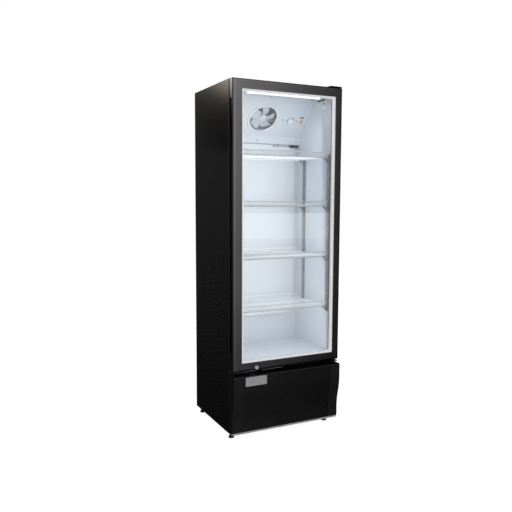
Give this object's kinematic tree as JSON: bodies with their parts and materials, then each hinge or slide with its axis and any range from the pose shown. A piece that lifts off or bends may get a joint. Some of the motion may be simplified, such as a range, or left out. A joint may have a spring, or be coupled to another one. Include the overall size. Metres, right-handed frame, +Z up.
{
  "type": "glass door merchandiser",
  "caption": "Upright display refrigerator with a full-height hinged glass door, wire shelves, a fan evaporator and a compressor compartment behind a curved kick panel.",
  "frame": {"origin": "on the floor at the centre of the footprint", "axes": "+Z up, the door faces -Y, +X to the hinge side"},
  "size_m": [0.62, 0.526, 1.7985],
  "materials": {
    "black_steel": "gloss",
    "galvanised": "matte",
    "foam": "matte",
    "white_plastic": "satin",
    "black_plastic": "satin",
    "grey_plastic": "matte",
    "black_aluminium": "satin",
    "bare_aluminium": "satin",
    "spacer": "matte",
    "white_steel": "satin",
    "clear_glass": "gloss",
    "seal_rubber": "matte",
    "steel": "satin",
    "chrome": "mirror",
    "copper": "satin",
    "light_lens": "satin",
    "amber": "satin"
  },
  "bodies": {
    "cabinet": {"left_side_panel": "black_steel", "right_side_panel": "black_steel", "top_panel": "black_steel", "foam_pan": "galvanised", "insulation_foam": "foam", "inner_liner": "white_plastic", "breaker_frame": "black_plastic", "back_panel": "galvanised", "rear_grille": "black_steel", "cord_gland": "black_plastic", "base_tray": "galvanised", "kick_panel": "black_plastic", "badge_plate": "bare_aluminium", "kick_panel_end_caps": "black_plastic", "compressor": "black_steel", "compressor_grommets": "seal_rubber", "condenser_coil": "copper", "condenser_shroud": "galvanised", "condenser_fan_motor": "steel", "condensate_tray": "grey_plastic", "electrical_box": "grey_plastic", "evaporator_coil": "bare_aluminium", "evaporator_drip_tray": "white_plastic", "evaporator_cover": "white_plastic", "evaporator_fan_motor": "steel", "thermostat_body": "black_plastic", "light_switch_body": "white_plastic", "light_channel": "white_steel", "light_lens": "light_lens", "air_duct_panel": "white_steel", "shelf_pilasters": "steel", "shelf_clips": "steel", "lock_keeper": "steel", "hinge_brackets": "black_steel", "drain_hose": "grey_plastic", "refrigerant_lines": "copper", "panel_screws": "steel"},
    "door": {"door_left_stile": "black_aluminium", "door_right_stile": "black_aluminium", "door_top_rail": "black_aluminium", "door_bottom_rail": "black_aluminium", "glass_panes": "clear_glass", "glass_spacer": "spacer", "door_gasket": "seal_rubber", "door_hinge_bushes": "black_plastic", "closer_torsion_rod": "steel", "lock_cylinder": "chrome"},
    "door_lock_plug": {"lock_plug": "chrome"},
    "evaporator_fan_wheel": {"evaporator_fan": "white_plastic"},
    "condenser_fan_wheel": {"condenser_fan": "bare_aluminium"},
    "dial": {"thermostat_dial": "white_plastic"},
    "rocker": {"light_switch_rocker": "amber"},
    "shelf_1_body": {"shelf_1": "white_steel"},
    "shelf_2_body": {"shelf_2": "white_steel"},
    "shelf_3_body": {"shelf_3": "white_steel"},
    "shelf_4_body": {"shelf_4": "white_steel"},
    "foot_front_left": {"levelling_foot_front_left": "black_plastic"},
    "foot_front_right": {"levelling_foot_front_right": "black_plastic"},
    "foot_back_left": {"levelling_foot_back_left": "black_plastic"},
    "foot_back_right": {"levelling_foot_back_right": "black_plastic"}
  },
  "joints": [
    {"name": "door_hinge", "type": "hinge", "parent": "cabinet", "child": "door", "pos_m": [0.29, -0.23, 1.0755], "axis": [0, 0, 1], "range_deg": [0, 110], "stiffness_Nm_per_rad": 2, "springref_deg": -20.05},
    {"name": "lock_turn", "type": "hinge", "parent": "door", "child": "door_lock_plug", "pos_m": [-0.18, -0.23, 0.377], "axis": [0, 1, 0], "range_deg": [0, 90]},
    {"name": "evaporator_fan_spin", "type": "hinge", "parent": "cabinet", "child": "evaporator_fan_wheel", "pos_m": [0, 0.04725, 1.64725], "axis": [0, -0.7317, -0.6816], "continuous": true},
    {"name": "condenser_fan_spin", "type": "hinge", "parent": "cabinet", "child": "condenser_fan_wheel", "pos_m": [0.146, -0.1, 0.167], "axis": [0, 1, 0], "continuous": true},
    {"name": "thermostat_turn", "type": "hinge", "parent": "cabinet", "child": "dial", "pos_m": [0.166, 0.04793, 1.64652], "axis": [0, -0.7317, -0.6816], "range_deg": [0, 300]},
    {"name": "light_rocker", "type": "hinge", "parent": "cabinet", "child": "rocker", "pos_m": [0.236, 0.05081, 1.64784], "axis": [1, 0, 0], "range_deg": [0, 16]},
    {"name": "shelf_1_lift", "type": "slide", "parent": "cabinet", "child": "shelf_1_body", "axis": [0, 0, 1], "range_m": [0, 0.04]},
    {"name": "shelf_2_lift", "type": "slide", "parent": "cabinet", "child": "shelf_2_body", "axis": [0, 0, 1], "range_m": [0, 0.04]},
    {"name": "shelf_3_lift", "type": "slide", "parent": "cabinet", "child": "shelf_3_body", "axis": [0, 0, 1], "range_m": [0, 0.04]},
    {"name": "shelf_4_lift", "type": "slide", "parent": "cabinet", "child": "shelf_4_body", "axis": [0, 0, 1], "range_m": [0, 0.04]},
    {"name": "foot_front_left_turn", "type": "hinge", "parent": "cabinet", "child": "foot_front_left", "pos_m": [-0.28, -0.16, 0.04], "axis": [0, 0, 1], "range_deg": [-360, 360]},
    {"name": "foot_front_right_turn", "type": "hinge", "parent": "cabinet", "child": "foot_front_right", "pos_m": [0.28, -0.16, 0.04], "axis": [0, 0, 1], "range_deg": [-360, 360]},
    {"name": "foot_back_left_turn", "type": "hinge", "parent": "cabinet", "child": "foot_back_left", "pos_m": [-0.28, 0.244, 0.04], "axis": [0, 0, 1], "range_deg": [-360, 360]},
    {"name": "foot_back_right_turn", "type": "hinge", "parent": "cabinet", "child": "foot_back_right", "pos_m": [0.28, 0.244, 0.04], "axis": [0, 0, 1], "range_deg": [-360, 360]}
  ]
}
